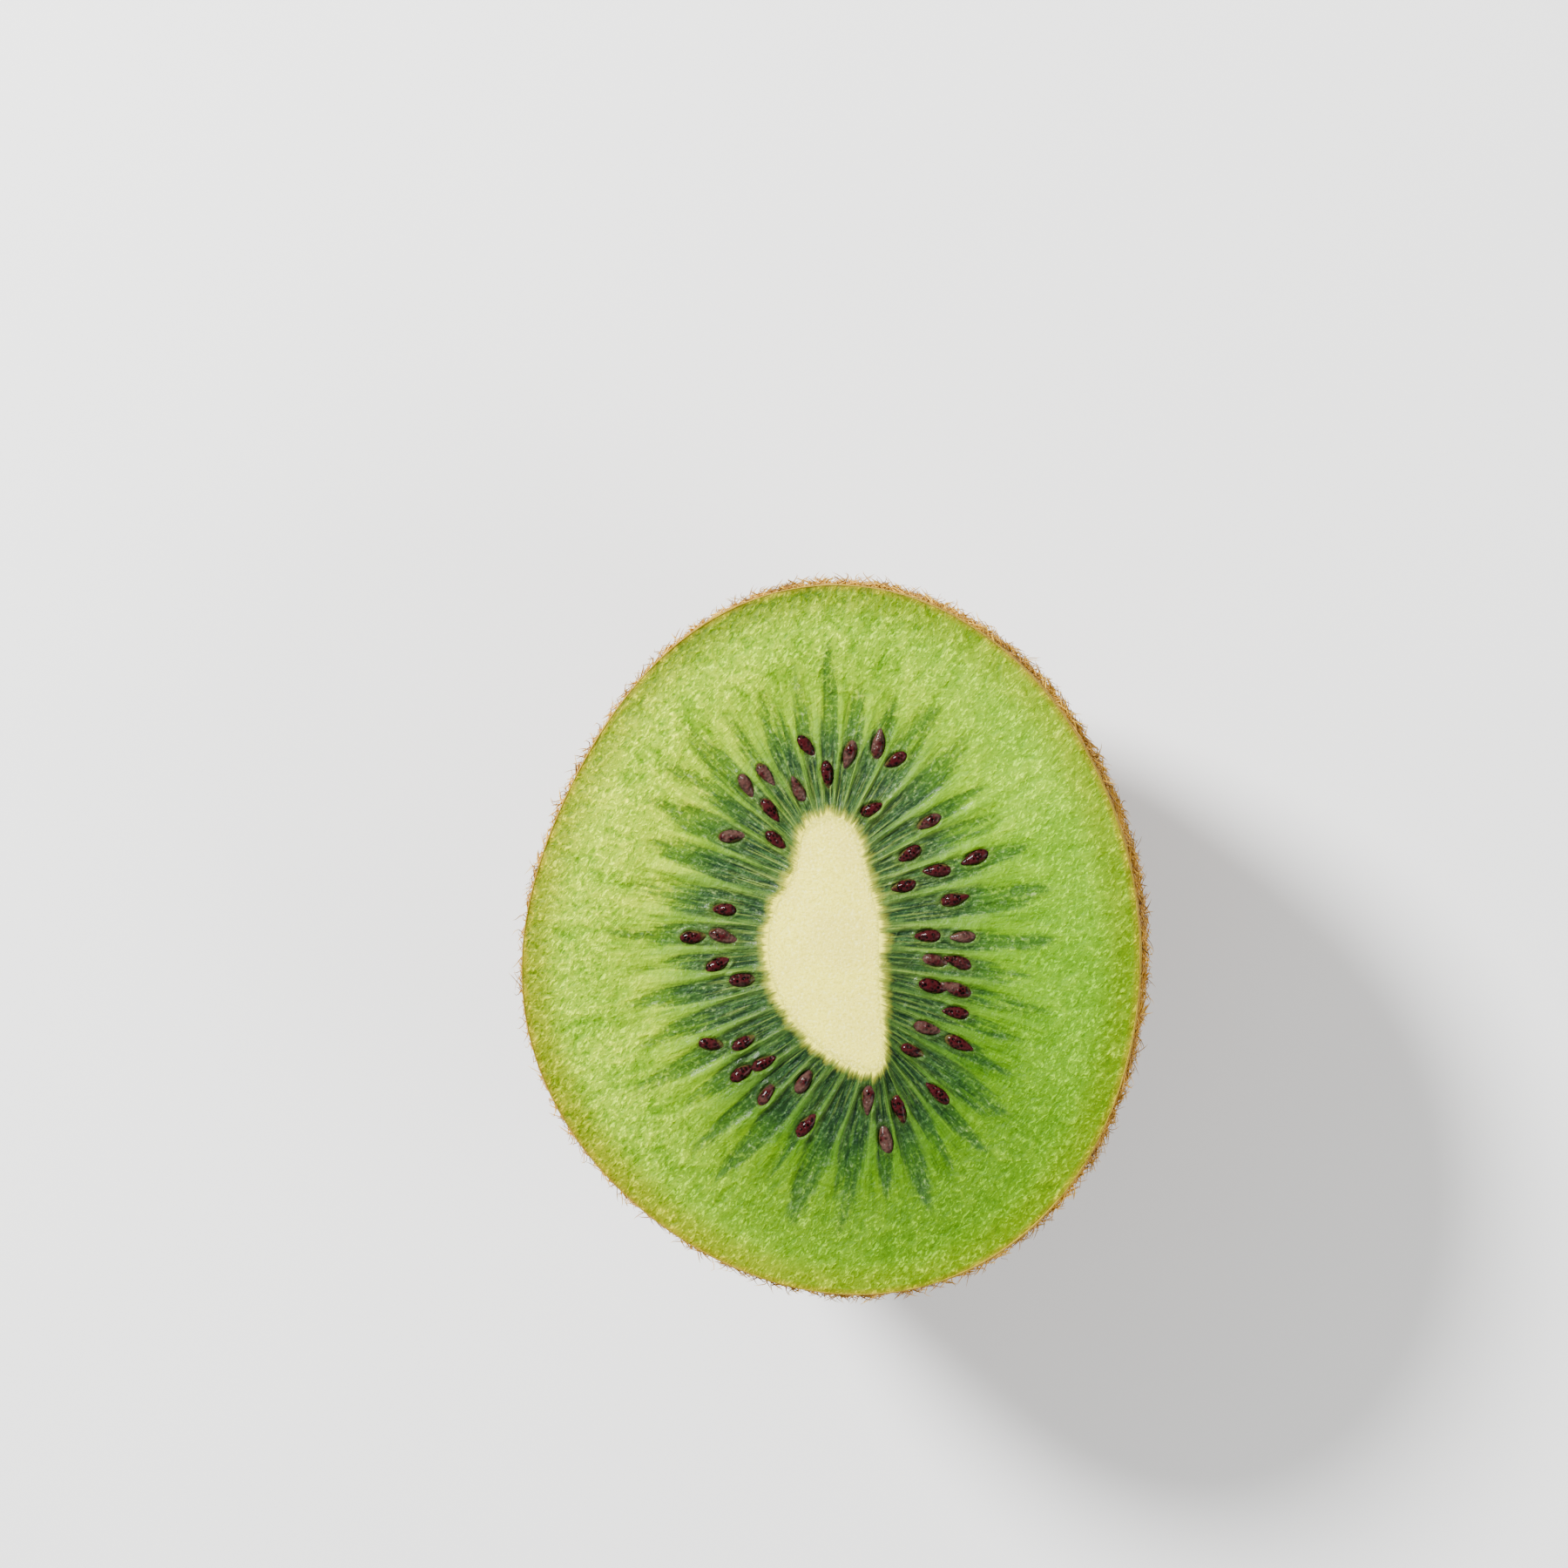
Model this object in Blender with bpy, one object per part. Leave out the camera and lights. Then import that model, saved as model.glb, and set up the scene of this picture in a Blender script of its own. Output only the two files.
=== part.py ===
"""Half of a green kiwi fruit, cut across its middle and lying on its round end with the cut face up.

Metres, +Z up. The origin is on the ground, under the middle of the cut face's box. Seen from above with
+Y up, the fruit's tall diameter runs along Y, and the pale core's lower tip leans towards +X.
The flesh, with its skin and the seeds that lie in the cut face, is one solid. The pale core is the
other, and runs down through the flesh.

Run it with: blender --background --python part.py
"""

import math
import random

import bmesh
import bpy
from mathutils import Matrix, Vector

MM = 0.001

# The half's length, from the cut to the resting end, and the middle radius of the cut face
HALF_LENGTH = 34.0 * MM
FACE_RADIUS = 26.1 * MM

# What makes the cut face's outline tall and slightly egg-shaped, 49 x 56 mm: for each wave its lobes,
# its height as a share of the radius and the direction of its first lobe
OUTLINE_WAVES = (
    (2, 0.068, math.radians(90.0)),
    (3, 0.0225, math.radians(-42.0)),
    (4, 0.0117, math.radians(11.0)),
)

# The dome below the cut: a blunt curve that ends in a flat resting spot
REST_RADIUS = 5.6 * MM
DOME_POWER = 2.5
DOME_ROOT = 2.1
DOME_ROUNDS_FROM = 0.45
LUMP_SHARE = 0.012

# The pale core at the cut, and how it narrows towards the resting end
CORE_HALF_WIDTH = 4.4 * MM
CORE_HALF_TALL = 10.1 * MM
CORE_MIDDLE = Vector((-0.4 * MM, -0.2 * MM))
CORE_TIP_LEAN = 3.7 * MM
CORE_TIP_POWER = 2.4
CORE_TOP_LEAN = 0.45 * MM
CORE_WAIST = 0.24
CORE_WAIST_POWER = 1.4
CORE_WAIST_LEAN = 0.25 * MM
CORE_DEPTH = 26.0 * MM
CORE_END_SHARE = 0.42
CORE_CROWN = 0.25 * MM
CORE_ROUND = 1.6 * MM
CORE_GAP = 0.3 * MM

# The seed chambers round the core, and the relief that they give the cut face
CHAMBERS = 38
RAY_FULL = 0.42
RAY_END = 0.74
RAY_HEIGHT = 0.20 * MM
CHAMBER_SINK = 0.38 * MM
FLESH_CROWN = 0.35 * MM
RIM_ROUND = 0.30 * MM

# Seeds, which lie in the chambers and stand a little proud of them
SEED_LENGTH = 2.45 * MM
SEED_WIDTH = 1.45 * MM
SEED_THICKNESS = 1.05 * MM
SEED_SUNK = 0.06 * MM
SEED_SIDES = 6
SEED_RINGS = 4
SEED_CLEARANCE = 1.75 * MM
INNER_ROW = (0.10, 0.21)
OUTER_ROW = (0.24, 0.36)
STRAY_ROW = (0.38, 0.44)
INNER_CHANCE = 0.66
OUTER_CHANCE = 0.72
STRAY_CHANCE = 0.06
DRAW_SEED = 12

# Points round one ring of the cut face, and round one of the dome, the core or its pocket
FACE_POINTS = 4 * CHAMBERS
DOME_POINTS = FACE_POINTS // 2
DOME_RINGS = 13
FACE_SHARES = (0.985, 0.94, 0.84, 0.72, 0.60, 0.48, 0.36, 0.25, 0.14, 0.05, 0.0)
POCKET_RINGS = 4

SKIN_SLOT, FLESH_SLOT, SEED_SLOT = range(3)


def eased(low, high, value):
    """0 below low, 1 above high and a smooth step between them."""
    share = min(1.0, max(0.0, (value - low) / (high - low)))
    return share * share * (3.0 - 2.0 * share)


def ring_angles(count):
    return [2 * math.pi * i / count for i in range(count)]


def direction(angle):
    return Vector((math.cos(angle), math.sin(angle)))


def waved_point(angle):
    """The cut outline about the middle of its waves, at this angle from +X."""
    waves = sum(share * math.cos(lobes * (angle - first)) for lobes, share, first in OUTLINE_WAVES)
    return direction(angle) * FACE_RADIUS * (1 + waves)


def box_middle(points):
    spans = [(min(p[i] for p in points), max(p[i] for p in points)) for i in (0, 1)]
    return Vector([(low + high) / 2 for low, high in spans])


OUTLINE_MIDDLE = box_middle([waved_point(angle) for angle in ring_angles(DOME_POINTS)])


def skin_point(angle):
    """The cut outline, with the middle of its box on the origin."""
    return waved_point(angle) - OUTLINE_MIDDLE


def core_point(angle, scale=1.0, outset=0.0):
    """The core's outline: a tall ellipse, waisted in its upper half, whose lower tip leans to +X."""
    side, up = math.cos(angle), math.sin(angle)
    top, tip = max(0.0, up), max(0.0, -up)
    waist = math.sin(math.pi * top**CORE_WAIST_POWER) ** 2
    lean = CORE_TIP_LEAN * tip**CORE_TIP_POWER + CORE_TOP_LEAN * top + CORE_WAIST_LEAN * waist
    x = (CORE_HALF_WIDTH * scale * (1 - CORE_WAIST * waist) + outset) * side + lean * scale
    y = (CORE_HALF_TALL * scale + outset) * up
    return CORE_MIDDLE + Vector((x, y))


def chamber_angle(angle):
    """Angle in which all chambers are equally wide: the real ones are wider here and narrower there."""
    return angle + 0.030 * math.sin(3 * angle + 1.0) + 0.018 * math.sin(7 * angle + 2.0)


def face_relief(angle, share):
    """Height of the cut face over its plane, at this share of the way from the core to the skin."""
    rays = 1.0 - eased(RAY_FULL, RAY_END, share)
    wall = math.cos(CHAMBERS * chamber_angle(angle))
    crown = FLESH_CROWN * eased(0.50, 0.80, share) * (1.0 - eased(0.86, 1.0, share))
    near_core = eased(0.0, 0.10, share)
    return crown + rays * near_core * (RAY_HEIGHT * wall - CHAMBER_SINK)


def face_point(angle, share):
    """A point of the cut face: straight lines run from the core's outline to the skin's."""
    flat = core_point(angle, outset=CORE_GAP).lerp(skin_point(angle), share)
    drop = RIM_ROUND * eased(0.95, 1.0, share)
    return Vector((flat.x, flat.y, HALF_LENGTH + face_relief(angle, share) - drop))


def dome_point(angle, depth_share):
    """A point of the skin: depth_share runs from 0 at the cut to 1 at the resting end."""
    end_scale = REST_RADIUS / FACE_RADIUS
    full_share = (1 - end_scale**DOME_ROOT) ** (1 / DOME_POWER)
    scale = (1 - (depth_share * full_share) ** DOME_POWER) ** (1 / DOME_ROOT)
    lump = LUMP_SHARE * eased(0.0, 0.6, depth_share) * math.sin(3 * angle + 5 * depth_share)
    roundness = eased(DOME_ROUNDS_FROM, 1.0, depth_share)
    flat = skin_point(angle).lerp(direction(angle) * FACE_RADIUS, roundness) * scale * (1 + lump)
    height = (HALF_LENGTH - RIM_ROUND) * (1 - depth_share)
    return Vector((flat.x, flat.y, height))


def add_ring(bm, points):
    return [bm.verts.new(point) for point in points]


def join_rings(bm, first, second, slot=0):
    """Faces between two rings of as many points, or of twice as many in one as in the other."""
    if len(first) == len(second):
        for i in range(len(first)):
            j = (i + 1) % len(first)
            bm.faces.new((first[i], first[j], second[j], second[i])).material_index = slot
        return
    flipped = len(first) > len(second)
    coarse, fine = (second, first) if flipped else (first, second)
    for i in range(len(coarse)):
        j = (i + 1) % len(coarse)
        left, mid, right = fine[2 * i], fine[2 * i + 1], fine[(2 * i + 2) % len(fine)]
        for corners in ((coarse[i], mid, left), (coarse[i], coarse[j], mid), (coarse[j], right, mid)):
            corners = corners[::-1] if flipped else corners
            bm.faces.new(corners).material_index = slot


def core_scale(depth):
    """How much narrower the core is at this depth below the cut."""
    share = depth / CORE_DEPTH
    return 1 - (1 - CORE_END_SHARE) * share**1.5


def build_flesh():
    """The half with its skin, its cut face and the pocket that the core fills."""
    bm = bmesh.new()
    dome_angles = ring_angles(DOME_POINTS)
    turns = [math.pi / 2 * (1 - i / DOME_RINGS) for i in range(DOME_RINGS + 1)]
    rings = [add_ring(bm, [dome_point(a, math.sin(turn)) for a in dome_angles]) for turn in turns]
    bm.faces.new(rings[0][::-1]).material_index = SKIN_SLOT
    for lower, upper in zip(rings, rings[1:]):
        join_rings(bm, lower, upper, SKIN_SLOT)

    above = rings[-1]
    for share in FACE_SHARES:
        ring = add_ring(bm, [face_point(a, share) for a in ring_angles(FACE_POINTS)])
        join_rings(bm, above, ring, FLESH_SLOT)
        above = ring

    for i in range(1, POCKET_RINGS + 1):
        depth = (CORE_DEPTH + CORE_GAP) * i / POCKET_RINGS
        scale = core_scale(min(depth, CORE_DEPTH))
        flats = [core_point(a, scale, CORE_GAP) for a in dome_angles]
        ring = add_ring(bm, [(p.x, p.y, HALF_LENGTH - depth) for p in flats])
        join_rings(bm, above, ring, FLESH_SLOT)
        above = ring
    bm.faces.new(above).material_index = FLESH_SLOT
    return finished(bm, "flesh")


def build_core():
    """The pale core, slightly crowned at the cut and rounded at its lower end."""
    bm = bmesh.new()
    angles = ring_angles(DOME_POINTS)
    levels = [(CORE_DEPTH, core_scale(CORE_DEPTH) * 0.72), (CORE_DEPTH - CORE_ROUND, core_scale(CORE_DEPTH))]
    levels += [(CORE_DEPTH * share, core_scale(CORE_DEPTH * share)) for share in (0.75, 0.5, 0.25, 0.0)]
    levels += [(-CORE_CROWN * (1 - scale * scale), scale) for scale in (0.85, 0.6, 0.3)]
    rings = []
    for depth, scale in levels:
        flats = [core_point(a, scale) for a in angles]
        rings.append(add_ring(bm, [(p.x, p.y, HALF_LENGTH - depth) for p in flats]))
    bm.faces.new(rings[0][::-1])
    for lower, upper in zip(rings, rings[1:]):
        join_rings(bm, lower, upper)
    bm.faces.new(rings[-1])
    return finished(bm, "core")


def seed_rows(draw):
    """Angle and share of each seed: up to two in a chamber, and now and then a stray further out."""
    for chamber in range(CHAMBERS):
        for (low, high), chance in (
            (INNER_ROW, INNER_CHANCE),
            (OUTER_ROW, OUTER_CHANCE),
            (STRAY_ROW, STRAY_CHANCE),
        ):
            taken, share, aside = draw.random() < chance, draw.uniform(low, high), draw.uniform(-0.22, 0.22)
            if taken:
                yield 2 * math.pi * (chamber + 0.5 + aside) / CHAMBERS, share


def true_angle(even_angle):
    """The angle whose chamber_angle is even_angle."""
    angle = even_angle
    for _ in range(8):
        angle += even_angle - chamber_angle(angle)
    return angle


def seed_places():
    """Where each seed lies, as (matrix, size): its length runs roughly along its chamber."""
    draw = random.Random(DRAW_SEED)
    placed = []
    for even_angle, share in seed_rows(draw):
        angle = true_angle(even_angle)
        twist, tilt = draw.gauss(0.0, 0.24), draw.uniform(-0.20, 0.20)
        size, turned = draw.uniform(0.88, 1.08), draw.random() < 0.3
        centre = face_point(angle, share)
        if any((centre - other.translation).length < SEED_CLEARANCE for other, _ in placed):
            continue
        ahead = face_point(angle, share + 0.05) - centre
        heading = math.atan2(ahead.y, ahead.x) + twist + (math.pi if turned else 0.0)
        centre.z = HALF_LENGTH - CHAMBER_SINK - SEED_SUNK
        turn = Matrix.Rotation(heading, 4, "Z") @ Matrix.Rotation(tilt, 4, "Y")
        placed.append((Matrix.Translation(centre) @ turn, size))
    return placed


def build_seed(index, matrix, size):
    """One teardrop seed, with its narrow end towards its own -X."""
    bm = bmesh.new()
    bmesh.ops.create_uvsphere(bm, u_segments=SEED_SIDES, v_segments=SEED_RINGS, radius=0.5)
    bm.transform(Matrix.Rotation(math.pi / 2, 4, "Y"))
    for vert in bm.verts:
        taper = 1.0 + 0.5 * vert.co.x - 0.5 * vert.co.x**2
        vert.co.x *= SEED_LENGTH * size
        vert.co.y *= SEED_WIDTH * size * taper
        vert.co.z *= SEED_THICKNESS * size * taper
    bm.transform(matrix)
    seed = finished(bm, f"seed_{index:02d}")
    seed.data.materials.append(seed_material())
    return seed


def fuse_seeds(flesh):
    """Joins the seeds to the flesh that they lie in, by one union."""
    seeds = bpy.data.collections.new("seeds")
    bpy.context.scene.collection.children.link(seeds)
    for index, (matrix, size) in enumerate(seed_places()):
        seed = build_seed(index, matrix, size)
        bpy.context.scene.collection.objects.unlink(seed)
        seeds.objects.link(seed)

    union = flesh.modifiers.new("seeds", "BOOLEAN")
    union.operation = "UNION"
    union.operand_type = "COLLECTION"
    union.collection = seeds
    union.solver = "EXACT"
    union.material_mode = "TRANSFER"
    bpy.context.view_layer.objects.active = flesh
    bpy.ops.object.modifier_apply(modifier=union.name)

    for seed in list(seeds.objects):
        bpy.data.objects.remove(seed)
    bpy.data.collections.remove(seeds)


def finished(bm, name):
    """Makes a closed mesh into a named object with outward faces and smooth round stretches."""
    bmesh.ops.recalc_face_normals(bm, faces=bm.faces)
    mesh = bpy.data.meshes.new(name)
    bm.to_mesh(mesh)
    bm.free()
    mesh.shade_smooth()
    mesh.set_sharp_from_angle(angle=math.radians(40.0))
    obj = bpy.data.objects.new(name, mesh)
    bpy.context.scene.collection.objects.link(obj)
    return obj


def material(name, colour, roughness):
    """A Principled material, made once for each name."""
    made = bpy.data.materials.get(name)
    if made is None:
        made = bpy.data.materials.new(name)
        made.use_nodes = True
        shader = made.node_tree.nodes["Principled BSDF"]
        shader.inputs["Base Color"].default_value = (*colour, 1.0)
        shader.inputs["Roughness"].default_value = roughness
        shader.inputs["Metallic"].default_value = 0.0
    return made


def skin_material():
    return material("brown skin", (0.33, 0.19, 0.07), 0.85)


def flesh_material():
    return material("green flesh", (0.35, 0.53, 0.07), 0.30)


def core_material():
    return material("pale core", (0.83, 0.78, 0.50), 0.45)


def seed_material():
    return material("dark seed", (0.03, 0.008, 0.010), 0.20)


def main():
    for obj in list(bpy.data.objects):
        bpy.data.objects.remove(obj)
    flesh = build_flesh()
    for made in (skin_material(), flesh_material(), seed_material()):
        flesh.data.materials.append(made)
    fuse_seeds(flesh)
    core = build_core()
    core.data.materials.append(core_material())


main()
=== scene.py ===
"""Half of a green kiwi fruit, cut across its middle and lying on its round end with the cut face up.

Each piece follows the outline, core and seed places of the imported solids, with a finer surface.
Lengths are in millimetres until a mesh is made; angles are measured from +X towards +Y.
"""

import itertools
import math
import random

import bpy
import numpy as np
from mathutils import Matrix, Vector


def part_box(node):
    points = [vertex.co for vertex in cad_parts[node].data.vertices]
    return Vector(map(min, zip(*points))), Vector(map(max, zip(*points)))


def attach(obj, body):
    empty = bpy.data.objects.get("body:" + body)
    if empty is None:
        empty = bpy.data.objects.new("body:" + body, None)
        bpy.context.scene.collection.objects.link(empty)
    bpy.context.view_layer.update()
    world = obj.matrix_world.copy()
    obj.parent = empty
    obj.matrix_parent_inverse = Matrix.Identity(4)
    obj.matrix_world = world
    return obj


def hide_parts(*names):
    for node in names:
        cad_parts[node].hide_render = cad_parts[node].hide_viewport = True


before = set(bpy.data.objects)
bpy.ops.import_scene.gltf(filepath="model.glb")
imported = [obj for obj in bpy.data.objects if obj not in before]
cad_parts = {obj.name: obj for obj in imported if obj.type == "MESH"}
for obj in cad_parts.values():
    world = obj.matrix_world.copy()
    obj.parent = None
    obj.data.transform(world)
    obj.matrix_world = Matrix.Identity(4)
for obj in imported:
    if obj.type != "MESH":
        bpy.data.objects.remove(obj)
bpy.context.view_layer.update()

MM = 0.001
TURN = 2.0 * math.pi

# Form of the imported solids: the cut face's outline as waves of (lobes, share of the radius, first lobe)
FACE_RADIUS = 26.1
OUTLINE_WAVES = (
    (2, 0.068, math.radians(90.0)),
    (3, 0.0225, math.radians(-42.0)),
    (4, 0.0117, math.radians(11.0)),
)
FLESH_CROWN = 0.35
RIM_ROUND = 0.30
CUT_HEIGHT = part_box("flesh")[1].z / MM - FLESH_CROWN

# The dome below the cut
REST_RADIUS = 5.6
DOME_POWER = 2.5
DOME_ROOT = 2.1
DOME_ROUNDS_FROM = 0.45
LUMP_SHARE = 0.012

# The pale core
CORE_HALF_WIDTH = 4.4
CORE_HALF_TALL = 10.1
CORE_MIDDLE = (-0.4, -0.2)
CORE_TIP_LEAN = 3.7
CORE_TIP_POWER = 2.4
CORE_TOP_LEAN = 0.45
CORE_WAIST = 0.24
CORE_WAIST_POWER = 1.4
CORE_WAIST_LEAN = 0.25
CORE_DEPTH = 26.0
CORE_END_SHARE = 0.42
CORE_CROWN = 0.25
CORE_ROUND = 1.6
CORE_GAP = 0.3

# Seed chambers and the seeds in them
CHAMBERS = 38
RAY_FULL = 0.42
RAY_END = 0.74
RAY_HEIGHT = 0.20
CHAMBER_SINK = 0.38
SEED_LENGTH = 2.45
SEED_WIDTH = 1.45
SEED_THICKNESS = 1.05
SEED_SUNK = 0.06
SEED_CLEARANCE = 1.75
SEED_DRAW = 12

# Rows of seeds: from and to which share of the way from the core to the skin, and the chance of a seed
SEED_ROWS = ((0.10, 0.21, 0.66), (0.24, 0.36, 0.72), (0.38, 0.44, 0.06))

# The visible seeds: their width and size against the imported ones, and how many lie under a film of flesh
SEED_SLIMMER = 0.76
SEED_VISIBLE = 0.94
SEED_FILM_CHANCE = 0.28
SEED_FILM_DRAW = 41

# How the visible chambers vary, as shares of the way from the core to the skin and of a chamber's width
CHAMBER_START = 0.15
CHAMBER_REACH = 0.67
CHAMBER_REACH_AT_ENDS = 0.05
CHAMBER_REACH_RANGE = (-0.12, 0.06)
CHAMBER_WIDTH_RANGE = (0.64, 0.94)
CHAMBER_STRENGTH_RANGE = (0.68, 1.0)
CHAMBER_BLUNTNESS_RANGE = (1.5, 3.2)
CHAMBER_BLUNTER_AT_TOP = 1.6
CHAMBER_FADE, CHAMBER_FADE_SWING = 0.30, 0.12
CHAMBERS_STRONGEST = math.radians(-50.0)
CHAMBER_DRAW = 5

# Sides where the flesh is paler, and where it is darker or more yellow at the rim, as (direction, strength)
PALE_SIDES = ((math.radians(46.0), 1.0), (math.radians(151.0), 0.75), (math.radians(240.0), 0.80))
DARK_RIM_SIDES = ((math.radians(106.0), 1.0), (math.radians(184.0), 0.45))
YELLOW_RIM_SIDES = ((math.radians(190.0), 0.40), (math.radians(236.0), 0.60))
SIDE_NARROWNESS = 7.0
FLESH_LEFT = (-0.89, 0.46)
FLESH_BOTTOM = (0.20, -0.98)

# Texture space in which rays and chambers run straight: the radius it is wound round and its length
FLOW_RADIUS = 15.0
FLOW_LENGTH = 20.0

# Fineness of the meshes
FACE_RAYS = 15 * CHAMBERS
FACE_RINGS = 144
CORE_RAYS = FACE_RAYS // 2
CORE_RINGS = 44
SKIN_RAYS = 320
SKIN_RINGS = 72
SEED_RAYS = 20
SEED_RINGS = 22

# The skin, its hairs and the dried scar at the resting end
SKIN_THICKNESS = 0.20
SKIN_MIDDLE = (0.0, 0.0, 12.0)
HAIRS = 8800
RIM_HAIRS = 2200
RIM_HAIRS_REACH = 0.12
HAIR_RINGS = 4
HAIR_SWIRL = 0.22
HAIR_SPREAD = 1.1
HAIR_ROOT_DEPTH = 0.03
GOLDEN_BAND = 13.0
RIM_BAND = 1.3
FLOOR_CLEARANCE = 0.06
SCAR_RADIUS = 2.9
SCAR_DEPTH = 0.55
SCAR_RAYS = 36
SCAR_RINGS = ((1.9, 0.62), (1.75, 0.40), (1.3, 0.30), (0.7, 0.36))
SCAR_STUBS = 22
SCAR_DRAW = 52
STUB_THICKNESS = 0.13

# Coats of hairs: name, seeds of the hairs' and the roots' draws, number, lowest root as a share of the depth,
# then length, lift, width and curl
COATS = (
    ("fuzz_under", 71, 61, HAIRS, 1.0, (0.5, 1.2), (0.02, 0.4), 0.100, 1.0),
    ("fuzz_short", 72, 62, HAIRS, 1.0, (0.7, 1.6), (0.05, 0.5), 0.100, 0.9),
    ("fuzz_long", 73, 63, HAIRS, 1.0, (1.1, 2.2), (0.05, 0.55), 0.105, 0.8),
    ("fuzz_rim", 74, 64, RIM_HAIRS, RIM_HAIRS_REACH, (0.9, 1.9), (0.2, 0.95), 0.095, 1.5),
)

# The camera: where the photograph's 1800-pixel frame sees the middle of the cut face
FRAME_PIXELS = 1800
FACE_PIXEL_X, FACE_PIXEL_Y = 951.4, 1080.3
MM_PER_PIXEL = 0.0686
LENS, SENSOR = 100.0, 36.0
TILT_RIGHT = math.radians(7.0)
TILT_UP = math.radians(3.0)

# The lamps, as (name, place, size, power), in metres and watts
LAMPS = (
    ("key", (-0.38, 0.34, 0.48), 0.16, 15.5),
    ("fill", (0.45, -0.15, 0.35), 0.30, 2.0),
)


# Numbers

def eased(low, high, value):
    """0 below low, 1 above high and a smooth step between them."""
    share = np.clip((value - low) / (high - low), 0.0, 1.0)
    return share * share * (3.0 - 2.0 * share)


def cell_values(cells, salt):
    """A fixed random number from 0 to 1 for each whole-numbered cell."""
    x, y, z = (cells[..., i].astype(np.uint64) for i in range(3))
    mixed = x * np.uint64(73856093) ^ y * np.uint64(19349663) ^ z * np.uint64(83492791)
    mixed = (mixed ^ np.uint64(salt * 2654435761)) & np.uint64(0xFFFFFFFF)
    for factor in (2246822519, 3266489917):
        mixed = (mixed ^ mixed >> np.uint64(15)) * np.uint64(factor) & np.uint64(0xFFFFFFFF)
    return (mixed >> np.uint64(8) & np.uint64(0xFFFF)) / 65535.0


def noise(points, salt=0):
    """Smooth noise from -1 to 1, whose features are about one unit wide."""
    base = np.floor(points)
    part = points - base
    part = part * part * (3.0 - 2.0 * part)
    total = np.zeros(points.shape[:-1])
    for corner in itertools.product((0, 1), repeat=3):
        weights = np.where(corner, part, 1.0 - part).prod(axis=-1)
        total += weights * cell_values(base.astype(np.int64) + np.array(corner), salt)
    return 2.0 * total - 1.0


def rough_noise(points, salt=0, octaves=3):
    """Noise with finer noise on top, from about -1 to 1."""
    layers = [noise(points * 2.0**i, salt + 7 * i) / 2.0**i for i in range(octaves)]
    return sum(layers) / (2.0 - 0.5 ** (octaves - 1))


# Outlines

def ring_angles(count):
    return np.arange(count) * TURN / count


def direction(angle):
    return np.stack([np.cos(angle), np.sin(angle)], axis=-1)


def at_height(flat, height):
    """Points seen from above, lifted to one height or to a height each."""
    return np.column_stack([flat, np.broadcast_to(height, len(flat))])


def unit(vectors, least=0.0):
    """Vectors brought to length 1; least is added to their lengths where one may be 0."""
    return vectors / (np.linalg.norm(vectors, axis=-1, keepdims=True) + least)


def waved_outline(angle):
    waves = sum(share * np.cos(lobes * (angle - first)) for lobes, share, first in OUTLINE_WAVES)
    return direction(angle) * (FACE_RADIUS * (1.0 + waves))[..., None]


def outline_middle():
    points = waved_outline(ring_angles(2 * CHAMBERS))
    return (points.min(axis=0) + points.max(axis=0)) / 2


OUTLINE_MIDDLE = outline_middle()


def skin_outline(angle):
    """The outer edge of the cut face."""
    return waved_outline(angle) - OUTLINE_MIDDLE


def core_outline(angle, scale=1.0, outset=0.0):
    """The core's edge: a tall ellipse, waisted in its upper half, whose lower tip leans to +X."""
    side, up = np.cos(angle), np.sin(angle)
    top, tip = np.maximum(0.0, up), np.maximum(0.0, -up)
    waist = np.sin(math.pi * top**CORE_WAIST_POWER) ** 2
    lean = CORE_TIP_LEAN * tip**CORE_TIP_POWER + CORE_TOP_LEAN * top + CORE_WAIST_LEAN * waist
    x = (CORE_HALF_WIDTH * scale * (1.0 - CORE_WAIST * waist) + outset) * side + lean * scale
    y = (CORE_HALF_TALL * scale + outset) * up
    return np.stack([x, y], axis=-1) + CORE_MIDDLE


def core_scale(depth):
    return 1.0 - (1.0 - CORE_END_SHARE) * (depth / CORE_DEPTH) ** 1.5


def core_ring(angles, depth):
    """The core's edge at a depth below the cut."""
    return at_height(core_outline(angles, core_scale(depth)), CUT_HEIGHT - depth)


def chamber_angle(angle):
    """Angle in which all chambers are equally wide."""
    return angle + 0.030 * np.sin(3 * angle + 1.0) + 0.018 * np.sin(7 * angle + 2.0)


def true_angle(even_angle):
    """The angle whose chamber_angle is even_angle."""
    angle = even_angle
    for _ in range(8):
        angle += even_angle - float(chamber_angle(angle))
    return angle


def face_flat(angle, share, gap=0.0):
    """A point of the cut face from above, on the line from a gap beside the core to the skin's edge."""
    share = np.asarray(share)[..., None]
    return core_outline(angle, outset=gap) * (1.0 - share) + skin_outline(angle) * share


def dome(angle, depth_share, inset=0.0):
    """A point of the skin: depth_share runs from 0 at the cut to 1 at the resting end."""
    end_scale = REST_RADIUS / FACE_RADIUS
    full_share = (1.0 - end_scale**DOME_ROOT) ** (1.0 / DOME_POWER)
    scale = (1.0 - (depth_share * full_share) ** DOME_POWER) ** (1.0 / DOME_ROOT)
    lump = LUMP_SHARE * eased(0.0, 0.6, depth_share) * np.sin(3 * angle + 5 * depth_share)
    roundness = eased(DOME_ROUNDS_FROM, 1.0, depth_share)[..., None]
    flat = skin_outline(angle) * (1.0 - roundness) + direction(angle) * FACE_RADIUS * roundness
    flat = flat * (scale * (1.0 + lump) * (1.0 - inset / FACE_RADIUS))[..., None]
    height = (CUT_HEIGHT - RIM_ROUND) * (1.0 - depth_share) + inset * depth_share
    return np.concatenate([flat, height[..., None]], axis=-1)


# Meshes

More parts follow.
